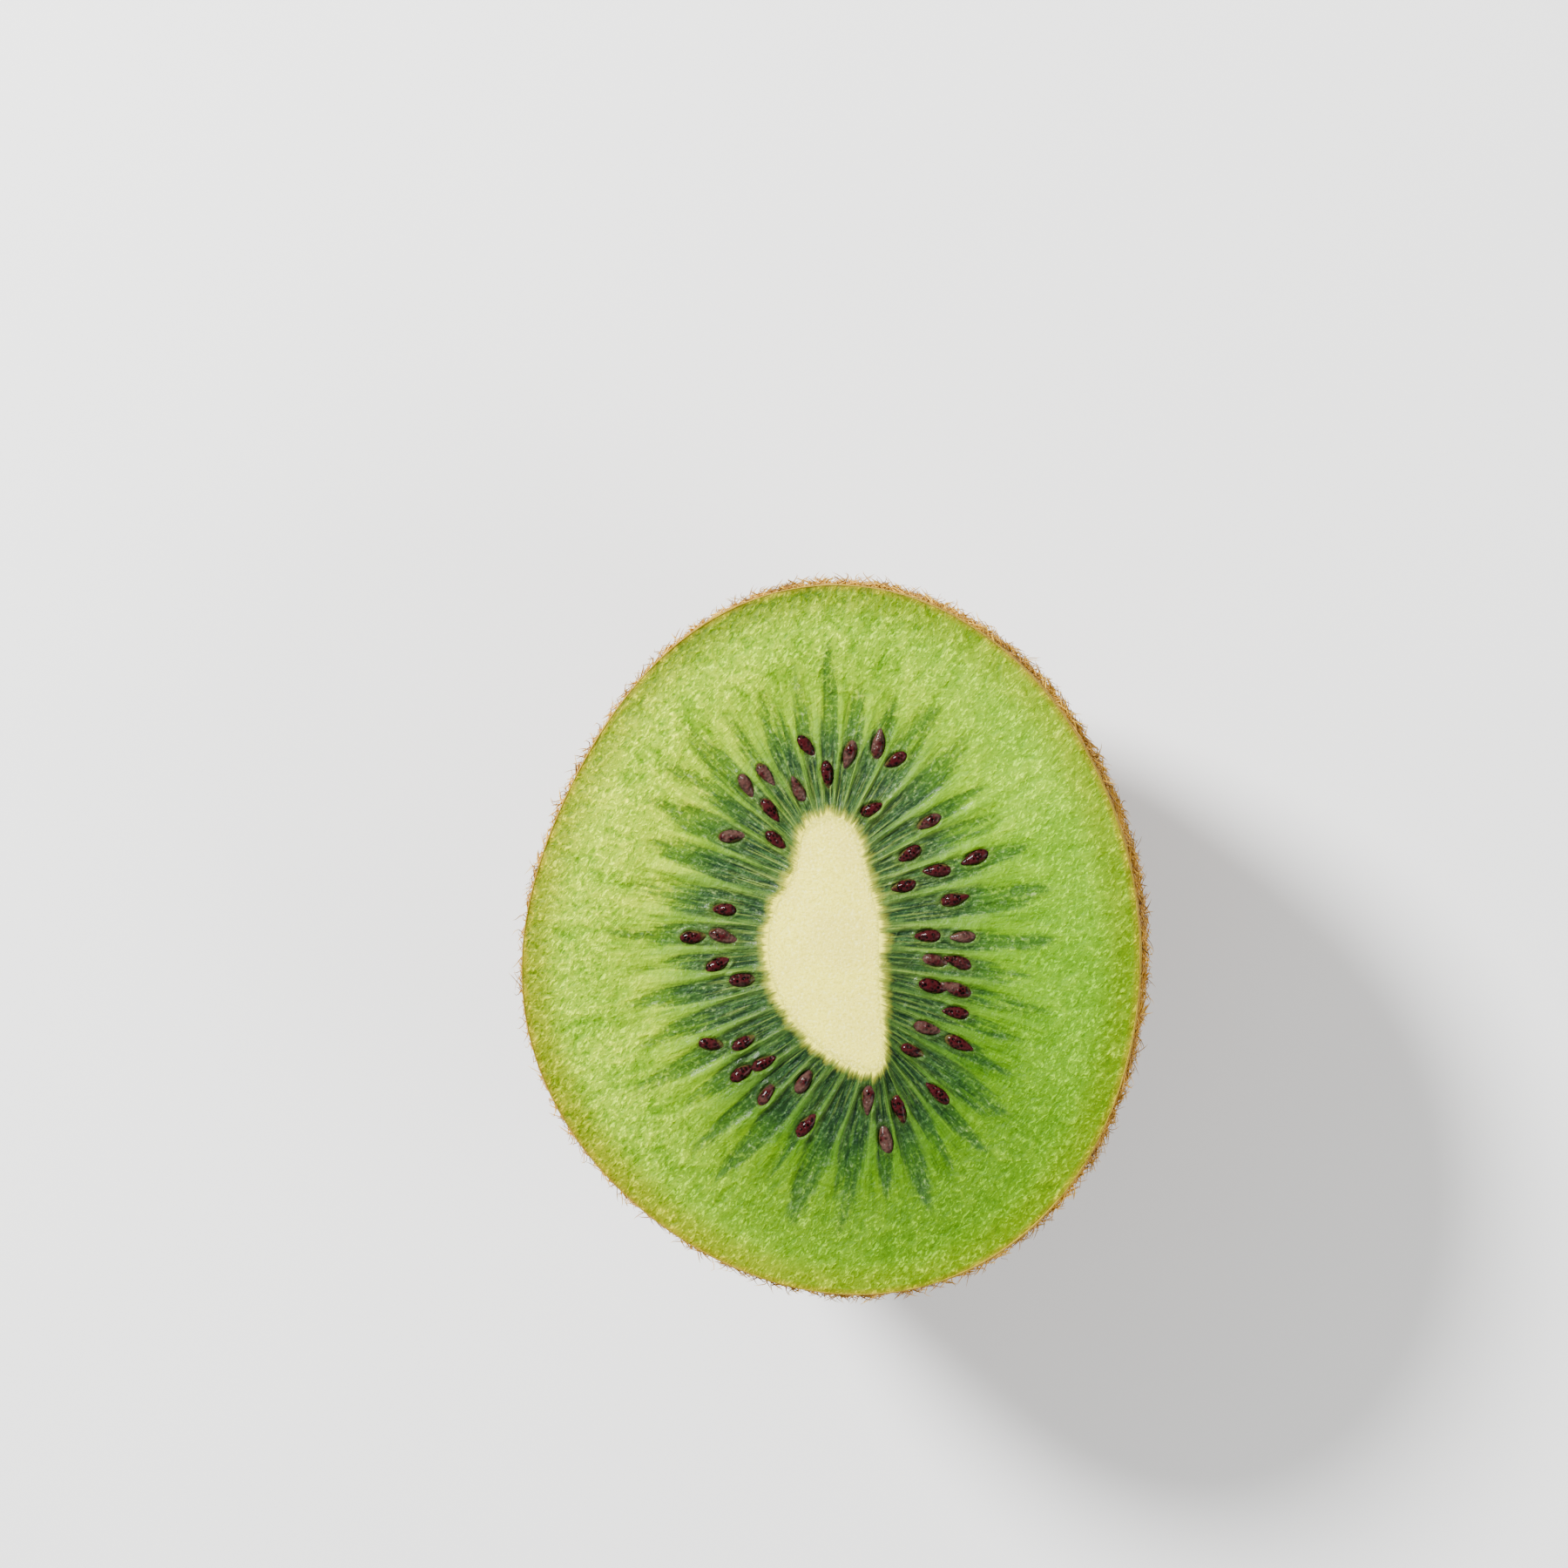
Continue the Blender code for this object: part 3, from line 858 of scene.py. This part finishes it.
def build_seeds(material):
    """All the seeds as one piece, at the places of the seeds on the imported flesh."""
    points, faces, films, rises = [], [], [], []
    draw = random.Random(SEED_FILM_DRAW)
    start = 0
    for index, (flat, heading, tilt, size) in enumerate(SEED_PLACES):
        form, form_faces = seed_form(size * SEED_VISIBLE, index)
        c, s = math.cos(tilt), math.sin(tilt)
        form = form @ np.array([[c, 0.0, s], [0.0, 1.0, 0.0], [-s, 0.0, c]]).T
        c, s = math.cos(heading), math.sin(heading)
        form = form @ np.array([[c, -s, 0.0], [s, c, 0.0], [0.0, 0.0, 1.0]]).T
        rises.append(form[:, 2] / (SEED_THICKNESS / 2))
        form += [flat[0], flat[1], CUT_HEIGHT - CHAMBER_SINK - SEED_SUNK]
        points.append(form)
        faces.append(form_faces + start)
        start += len(form)
        covered = draw.uniform(0.4, 0.8) if draw.random() < SEED_FILM_CHANCE else draw.uniform(0.0, 0.06)
        films.append(np.full(len(form), covered))
    values = {"film": np.concatenate(films), "rise": np.concatenate(rises)}
    return add_piece("seeds", np.concatenate(points), np.concatenate(faces), material, values)


# The cut face

def near_seeds(flat):
    """Distance in seed widths from the edge of the nearest seed, as seen from above; below 0 is on it."""
    nearest = np.full(flat.shape[:-1], 9.0)
    for centre, heading, _, size in SEED_PLACES:
        away = flat - centre
        c, s = math.cos(heading), math.sin(heading)
        along = (away[..., 0] * c + away[..., 1] * s) / (SEED_LENGTH / 2 * size)
        across = (away[..., 1] * c - away[..., 0] * s) / (SEED_WIDTH / 2 * size)
        nearest = np.minimum(nearest, np.hypot(along, across) - 1.0)
    return nearest


def chamber_pattern(angle, share, flow):
    """How much of each point is dark chamber, wall between chambers and pale fibre, from 0 to 1."""
    wander = 0.20 * noise(flow * (0.45, 0.45, 0.20), 1) * eased(0.05, 0.60, share)
    phase = CHAMBERS * chamber_angle(angle) / TURN + wander
    chamber = np.floor(phase).astype(int) % CHAMBERS
    aside = np.abs(phase - np.floor(phase) - 0.5) * 2.0
    draw = np.random.default_rng(CHAMBER_DRAW)
    end = CHAMBER_REACH + CHAMBER_REACH_AT_ENDS * np.abs(np.sin(angle))
    end = end + draw.uniform(*CHAMBER_REACH_RANGE, CHAMBERS)[chamber]
    width = draw.uniform(*CHAMBER_WIDTH_RANGE, CHAMBERS)[chamber]
    strength = draw.uniform(*CHAMBER_STRENGTH_RANGE, CHAMBERS)[chamber]
    bluntness = draw.uniform(*CHAMBER_BLUNTNESS_RANGE, CHAMBERS)[chamber]
    bluntness = bluntness + CHAMBER_BLUNTER_AT_TOP * np.maximum(0.0, np.sin(angle))
    reach = np.clip((share - CHAMBER_START) / (end - CHAMBER_START), 0.0, 1.0)
    half = width * (1.0 - reach**bluntness) ** 0.75 * (0.62 + 0.38 * eased(0.0, 0.16, share))
    half = half + 0.18 * noise(flow * (1.6, 1.6, 0.30), 2) * eased(0.10, 0.30, share)
    half = half - 3.0 * np.maximum(0.0, share - end + 0.04)
    soft = 0.16 + 0.20 * eased(0.25, 0.60, share)
    fade = CHAMBER_FADE - CHAMBER_FADE_SWING * np.cos(angle - CHAMBERS_STRONGEST)
    locule = eased(-soft, soft, half - aside) * strength * (1.0 - fade * eased(0.30, end, share))
    locule *= eased(0.005, 0.05, share)
    fibre = (0.5 + 0.5 * np.cos(3.0 * TURN * phase + 2.0 * noise(flow * (0.8, 0.8, 0.3), 3))) ** 2
    fibre *= eased(0.005, 0.02, share) * (1.0 - eased(0.10, 0.34, share))
    septum = np.exp(-(((1.0 - aside) / (0.20 + 0.25 * share)) ** 2))
    septum *= eased(0.03, 0.16, share) * (1.0 - eased(0.30, 0.62, share))
    return locule, septum, fibre


def towards(angle, sides):
    """How near each angle is to some sides, given as (direction, strength) pairs."""
    return sum(strength * np.exp(SIDE_NARROWNESS * (np.cos(angle - side) - 1.0)) for side, strength in sides)


def face_relief(face, flow, share, beside, locule, septum, fibre):
    """Height of the visible cut face over its plane, with a meniscus round each seed."""
    rays = ray_strength(share)
    meniscus = (0.13 + 0.09 * noise(face * 0.9, 15)) * np.exp(-((beside / 0.24) ** 2))
    meniscus = meniscus - 0.10 * eased(0.0, -0.4, beside)
    height = crown_height(share) + rays * (RAY_HEIGHT - CHAMBER_SINK - 1.1 * RAY_HEIGHT * locule)
    height += 0.05 * fibre + 0.08 * septum + 0.05 * rays * noise(flow * (2.2, 2.2, 0.45), 11)
    height += meniscus * eased(0.03, 0.08, share)
    height += 0.045 * rough_noise(face * 1.9, 12) * eased(0.03, 0.20, share) + 0.05 * noise(face * 0.25, 13)
    height += 0.05 * locule * noise(flow * (1.1, 1.1, 0.8), 14)
    height -= RIM_ROUND * 0.1 * eased(0.975, 1.0, share)
    return height * eased(-0.002, 0.01, share)


def side_values(flat, angle, share):
    """How far each point belongs to the sides where the flesh has a colour of its own; on the left side this
    is partly painted light, and it also places painted shade.
    """
    outward = unit(flat)
    lowness = outward @ np.array(FLESH_BOTTOM)
    return {
        "left_side": eased(-0.5, 1.05, outward @ np.array(FLESH_LEFT)) * eased(0.1, 0.5, share),
        "low_side": eased(0.35, 1.05, lowness) * eased(0.98, 0.75, share) * eased(0.35, 0.60, share),
        "low_inner": eased(0.10, 1.00, lowness) * eased(0.72, 0.36, share) * eased(0.0, 0.04, share),
        "pale": towards(angle, PALE_SIDES) * eased(0.30, 0.55, share),
        "dark_rim": towards(angle, DARK_RIM_SIDES) * eased(0.86, 0.98, share),
        "yellow_rim": towards(angle, YELLOW_RIM_SIDES) * eased(0.84, 0.98, share),
    }


def build_flesh(material):
    """The green flesh: the uneven cut face, the pocket round the core and the sides under the skin."""
    angles = ring_angles(FACE_RAYS)
    share, angle = np.meshgrid(np.linspace(0.0, 1.0, FACE_RINGS), angles, indexing="ij")
    flat = face_flat(angle, share * (1.0 - SKIN_THICKNESS / FACE_RADIUS))
    face = np.concatenate([flat, np.zeros((*share.shape, 1))], axis=-1)
    around = np.broadcast_to(direction(angles) * FLOW_RADIUS, (*share.shape, 2))
    flow = np.concatenate([around, share[..., None] * FLOW_LENGTH], axis=-1)
    locule, septum, fibre = chamber_pattern(angle, share, flow)
    beside = near_seeds(flat)
    face[..., 2] = CUT_HEIGHT + face_relief(face, flow, share, beside, locule, septum, fibre)

    pocket = [core_ring(angles, depth) for depth in np.linspace(CORE_DEPTH, 0.0, 6)[:-1]]
    falls = np.linspace(0.0, 0.985, 14)[1:]
    sides = [dome(angles, np.full(FACE_RAYS, fall), inset=SKIN_THICKNESS + 0.05) for fall in falls]
    ends = [*CORE_MIDDLE, CUT_HEIGHT - CORE_DEPTH], [0.0, 0.0, SKIN_THICKNESS + 0.4]
    points, faces = closed_loft(np.concatenate([pocket, face, sides]), *ends)
    values = {"share": share, "flow": flow, "locule": locule, "septum": septum, "fibre": fibre}
    values["halo"] = np.exp(-((np.maximum(beside, 0.0) / 0.22) ** 2)) * (beside > -0.3)
    values |= side_values(flat, angle, share)
    for name, grid in values.items():
        # The pocket and the sides carry on the values of the face's first and last ring
        rows = [grid[:1]] * len(pocket) + [grid] + [grid[-1:]] * len(sides)
        values[name] = with_ends(np.concatenate(rows), grid[0, 0], grid[-1, 0])
    return add_piece("flesh_cut_face", points, faces, material, values, sharp=55.0)


def build_core(material):
    """The pale core, level with the flesh round it and slightly crowned."""
    angles = ring_angles(CORE_RAYS)
    scales = np.linspace(1.0, 0.0, CORE_RINGS + 1)[:-1]
    top = []
    for scale in scales:
        flat = (core_outline(angles, outset=0.04) - CORE_MIDDLE) * scale + CORE_MIDDLE
        height = CORE_CROWN * (1.0 - scale * scale) ** 2 - 0.01
        height = height + 0.018 * rough_noise(at_height(flat, 0.0) * 2.4, 21) * eased(1.0, 0.93, scale)
        top.append(at_height(flat, CUT_HEIGHT + height))
    depths = np.linspace(0.5, CORE_DEPTH - CORE_ROUND, 8)
    walls = [core_ring(angles, depth) for depth in depths]
    end = core_outline(angles, 0.7 * core_scale(CORE_DEPTH))
    walls.append(at_height(end, CUT_HEIGHT - CORE_DEPTH + 0.1))
    rings = np.array(top[::-1] + walls)
    tip = [*end.mean(axis=0), CUT_HEIGHT - CORE_DEPTH + 0.1]
    points, faces = closed_loft(rings, [*CORE_MIDDLE, CUT_HEIGHT + CORE_CROWN - 0.01], tip)
    edge = np.ones(rings.shape[:2])
    edge[:CORE_RINGS] = scales[::-1, None]
    return add_piece("pale_core", points, faces, material, {"edge": with_ends(edge, 0.0, 1.0)}, sharp=55.0)


# Skin, hairs and scar

def near_cut(height, band):
    """1 at the cut, fading to 0 at the lower edge of a band of skin."""
    return eased(CUT_HEIGHT - band, CUT_HEIGHT - RIM_ROUND, height)


def build_skin(material):
    """The thin skin: a shell whose torn edge shows round the cut, and whose resting end is dimpled."""
    angles = ring_angles(SKIN_RAYS)
    outer_falls = np.sin(np.linspace(0.0, math.pi / 2, SKIN_RINGS))
    outer = np.array([dome(angles, np.full(SKIN_RAYS, fall)) for fall in outer_falls])
    heights = 0.045 * rough_noise(outer * 1.1, 31) + 0.05 * noise(outer * 0.35, 32)
    heights *= eased(0.0, 2.0, outer[..., 2])
    outer += unit(outer - SKIN_MIDDLE) * heights[..., None]

    torn = 0.06 * rough_noise(outer[0] * 1.6, 33)
    edge = []
    for share, lift in ((0.15, 0.26), (0.5, 0.33), (0.9, 0.24)):
        flat = skin_outline(angles) * (1.0 - share * SKIN_THICKNESS / FACE_RADIUS)
        edge.append(at_height(flat, CUT_HEIGHT - RIM_ROUND + lift + torn))
    inner_falls = np.linspace(0.0, 0.97, 10)
    inner = [dome(angles, np.full(SKIN_RAYS, fall), inset=SKIN_THICKNESS) for fall in inner_falls]

    floor_radii = np.linspace(1.0, 0.06, 12)
    dish = []
    for radius in floor_radii:
        ring = outer[-1].copy()
        ring[:, :2] *= radius
        across = np.hypot(ring[:, 0], ring[:, 1])
        dip = SCAR_DEPTH * eased(SCAR_RADIUS, 0.55 * SCAR_RADIUS, across)
        ring[:, 2] = dip + 0.03 * (1.0 + noise(ring * 1.5, 34)) * eased(REST_RADIUS, 4.0, across)
        dish.append(ring)

    rings = np.array(inner[::-1] + edge[::-1] + list(outer) + dish)
    rim = 0.45 * near_cut(rings[..., 2], GOLDEN_BAND) + 0.55 * near_cut(rings[..., 2], RIM_BAND)
    rim[: len(inner) - 1] = 0.0
    points, faces = closed_loft(rings, [0.0, 0.0, SKIN_THICKNESS + 0.35], [0.0, 0.0, SCAR_DEPTH])
    return add_piece("skin", points, faces, material, {"rim": with_ends(rim, 0.0, 0.0)}, sharp=70.0)


def hair_roots(count, salt, lowest):
    """Random places on the skin, spread evenly from the cut to a depth share, as (point, outward, upward)."""
    draw = np.random.default_rng(salt)
    angles = draw.uniform(0.0, TURN, 4 * count)
    falls = draw.uniform(0.0, lowest, 4 * count)
    step = 1e-3
    here = dome(angles, falls * (1 - step))
    beside = dome(angles + step, falls * (1 - step)) - here
    below = dome(angles, falls * (1 - step) + step) - here
    crossed = np.cross(below, beside)
    area = np.linalg.norm(crossed, axis=-1)
    kept = draw.uniform(0.0, 1.0, len(area)) < area / area.max()
    picked = np.flatnonzero(kept)[:count]
    outward = crossed[picked] / area[picked, None]
    outward *= np.sign(np.einsum("ij,ij->i", outward, here[picked] - SKIN_MIDDLE))[:, None]
    return here[picked], outward, unit(-below[picked])


def hair_spines(draw, roots, length, lift, width, curl):
    """The middle line of each hair: places from its root to its tip."""
    root, outward, upward = roots
    count = len(root)
    sideways = np.cross(outward, upward)
    swirl = TURN * noise(root * HAIR_SWIRL, 67)
    turn = (swirl + draw.normal(0.0, HAIR_SPREAD, count))[:, None]
    lie = np.cos(turn) * sideways + np.sin(turn) * upward
    over_cut = (root[:, 2] > CUT_HEIGHT - length[1]) & (lie[:, 2] > 0.1)
    lie[over_cut] *= -1.0
    bend = np.cross(outward, lie)
    lengths = draw.uniform(*length, count)[:, None]
    lifts = draw.uniform(*lift, count)[:, None]
    curls = draw.normal(0.0, curl, count)[:, None]
    droops = draw.uniform(0.2, 1.0, count)[:, None]
    spine = [root - outward * HAIR_ROOT_DEPTH]
    for step in range(1, HAIR_RINGS + 1):
        share = (step - 0.5) / HAIR_RINGS
        swing, rise = curls * (2.0 * share - 0.4), lifts * (1.0 - droops * share)
        ahead = np.cos(rise) * (np.cos(swing) * lie + np.sin(swing) * bend) + np.sin(rise) * outward
        spine.append(spine[-1] + ahead * lengths / HAIR_RINGS)
    spine = np.array(spine)
    spine[..., 2] = np.maximum(spine[..., 2], FLOOR_CLEARANCE + 0.5 * width)
    return spine


def hair_points(spine, outward, thick):
    """Rings of three points round each hair's middle line, and its tip."""
    ahead = unit(np.gradient(spine, axis=0), 1e-9)
    across = unit(np.cross(ahead, outward), 1e-9)
    above = np.cross(across, ahead)
    rings = []
    for index in range(HAIR_RINGS):
        taper = 1.0 - 0.6 * (index / HAIR_RINGS) ** 2
        for angle in ring_angles(3):
            offset = math.cos(angle) * across[index] + math.sin(angle) * above[index]
            rings.append(spine[index] + offset * thick / 2 * taper)
    rings.append(spine[HAIR_RINGS])
    return np.stack(rings, axis=1)


def hair_triangles():
    """The triangles of one hair: its root, its sides and its tip."""
    triangles = [(0, 2, 1)]
    for low in range(0, 3 * HAIR_RINGS - 3, 3):
        for i in range(3):
            j = (i + 1) % 3
            triangles += [(low + i, low + j, low + 3 + j), (low + i, low + 3 + j, low + 3 + i)]
    last = 3 * HAIR_RINGS - 3
    return triangles + [(last + i, last + (i + 1) % 3, last + 3) for i in range(3)]


def build_hairs(name, material, salt, roots, length, lift, width, curl):
    """One coat of tapered three-sided hairs, lying at random and curling over the skin."""
    draw = np.random.default_rng(salt)
    root, outward, _ = roots
    count = len(root)
    spine = hair_spines(draw, roots, length, lift, width, curl)
    points = hair_points(spine, outward, width * draw.uniform(0.7, 1.25, count)[:, None])
    corners = points.shape[1]
    faces = (np.arange(count)[:, None, None] * corners + np.array(hair_triangles())).reshape(-1, 3)
    tone = draw.beta(2.2, 2.0, count) + 0.22 * noise(root * 0.45, 68)
    along = np.append(np.repeat(np.arange(HAIR_RINGS) / HAIR_RINGS, 3), 1.0)
    values = {
        "tone": np.repeat(tone, corners),
        "along": np.tile(along, count),
        "golden": np.repeat(near_cut(root[:, 2], GOLDEN_BAND), corners),
    }
    return add_piece(name, points.reshape(-1, 3), faces, material, values)


def build_scar(material):
    """The dried scar in the dimple at the resting end: a rough button with short style stubs round it."""
    angles = ring_angles(SCAR_RAYS)
    rings = []
    for radius, height in SCAR_RINGS:
        place = at_height(direction(angles) * radius, height)
        place[:, 2] += 0.10 * noise(place * 2.2, 51)
        rings.append(place)
    points, faces = closed_loft(np.array(rings), [0.0, 0.0, 0.75], [0.0, 0.0, 0.42])
    all_points, all_faces = [points], [faces]
    start = len(points)
    draw = random.Random(SCAR_DRAW)
    for index in range(SCAR_STUBS):
        angle = TURN * index / SCAR_STUBS + draw.uniform(-0.12, 0.12)
        inner, length = draw.uniform(0.4, 1.3), draw.uniform(0.7, 1.3)
        sweep = draw.uniform(-0.5, 0.5)
        stub = []
        for step in np.linspace(0.0, 1.0, 5):
            reach, bearing = inner + length * step, angle + sweep * step
            thick = STUB_THICKNESS * (1.0 - 0.6 * step)
            height = 0.34 + 0.10 * math.sin(3.0 * step + index)
            middle = np.array([reach * math.cos(bearing), reach * math.sin(bearing), height])
            side = np.array([-math.sin(bearing), math.cos(bearing), 0.0])
            turns = ring_angles(6)[:, None]
            stub.append(middle + thick * (np.cos(turns) * side + np.sin(turns) * np.array([0.0, 0.0, 0.8])))
        points, faces = closed_loft(np.array(stub), stub[0].mean(axis=0), stub[-1].mean(axis=0))
        all_points.append(points)
        all_faces.append(faces + start)
        start += len(points)
    return add_piece("blossom_scar", np.concatenate(all_points), np.concatenate(all_faces), material)


# Stage

def build_floor():
    material, tree, shader = new_material("pale_floor")
    place = object_place(tree)
    grain = noise_value(tree, place, 40.0, 2.0)
    colour = mixed(tree, grain, FLOOR_DARK, FLOOR_PALE)
    set_inputs(tree, shader, {"Base Color": colour, "Roughness": 0.7})
    bpy.ops.mesh.primitive_plane_add(size=8.0, location=(0.0, 0.0, 0.0))
    floor = bpy.context.object
    floor.name = "floor"
    floor.data.materials.append(material)


def add_lamp(name, place, size, power):
    """A round white lamp that points at the cut face."""
    light = bpy.data.lights.new(name, "AREA")
    light.shape = "DISK"
    light.size = size
    light.energy = power
    lamp = bpy.data.objects.new(name, light)
    lamp.location = Vector(place)
    face = Vector((0.0, 0.0, CUT_HEIGHT * MM))
    lamp.rotation_euler = (face - Vector(place)).to_track_quat("-Z", "Y").to_euler()
    bpy.context.scene.collection.objects.link(lamp)


def build_light():
    """Soft studio light: a bright surround, dim overhead, with a lamp at the upper left and a fill."""
    world = bpy.data.worlds.new("surround")
    world.use_nodes = True
    tree = world.node_tree
    background = tree.nodes["Background"]
    background.inputs["Color"].default_value = (1.0, 1.0, 1.0, 1.0)
    way = add_node(tree, "ShaderNodeTexCoord", {}).outputs["Generated"]
    height = add_node(tree, "ShaderNodeSeparateXYZ", {0: way}).outputs["Z"]
    tree.links.new(ranged(tree, height, 0.95, 0.55, 0.10, 1.25), background.inputs["Strength"])
    bpy.context.scene.world = world
    for lamp in LAMPS:
        add_lamp(*lamp)


def build_camera():
    """The photograph's view: nearly square on to the cut face, from a little to its right and above."""
    camera = bpy.data.cameras.new("camera")
    camera.lens = LENS
    camera.sensor_width = SENSOR
    away = FRAME_PIXELS * MM_PER_PIXEL * LENS / SENSOR
    beside_x = (FRAME_PIXELS / 2 - FACE_PIXEL_X) * MM_PER_PIXEL
    beside_y = (FACE_PIXEL_Y - FRAME_PIXELS / 2) * MM_PER_PIXEL
    aim = Vector((beside_x, beside_y, CUT_HEIGHT))
    back = Vector((math.tan(TILT_RIGHT), math.tan(TILT_UP), 1.0)).normalized()
    right = Vector((0.0, 1.0, 0.0)).cross(back).normalized()
    rig = bpy.data.objects.new("camera", camera)
    rig.location = (aim + back * away) * MM
    rig.rotation_euler = Matrix((right, back.cross(right), back)).transposed().to_euler()
    camera.clip_start = 0.01
    bpy.context.scene.collection.objects.link(rig)
    bpy.context.scene.camera = rig


def main():
    fuzz = fuzz_material()
    flesh = build_flesh(flesh_material())
    core = build_core(core_material())
    seeds = build_seeds(seed_material())
    skin = build_skin(skin_material())
    coats = [
        build_hairs(name, fuzz, salt, hair_roots(count, root_salt, lowest), *form)
        for name, salt, root_salt, count, lowest, *form in COATS
    ]
    scar = build_scar(scar_material())

    slots = ((flesh, "flesh"), (core, "core"), (seeds, "seeds"), (skin, "skin"), (scar, "scar"))
    for piece, slot in (*slots, *((coat, "fuzz") for coat in coats)):
        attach(piece, "root")
    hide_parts("flesh")
    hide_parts("flesh")
    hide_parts("flesh")
    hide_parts("core")

    build_floor()
    build_light()
    build_camera()


main()
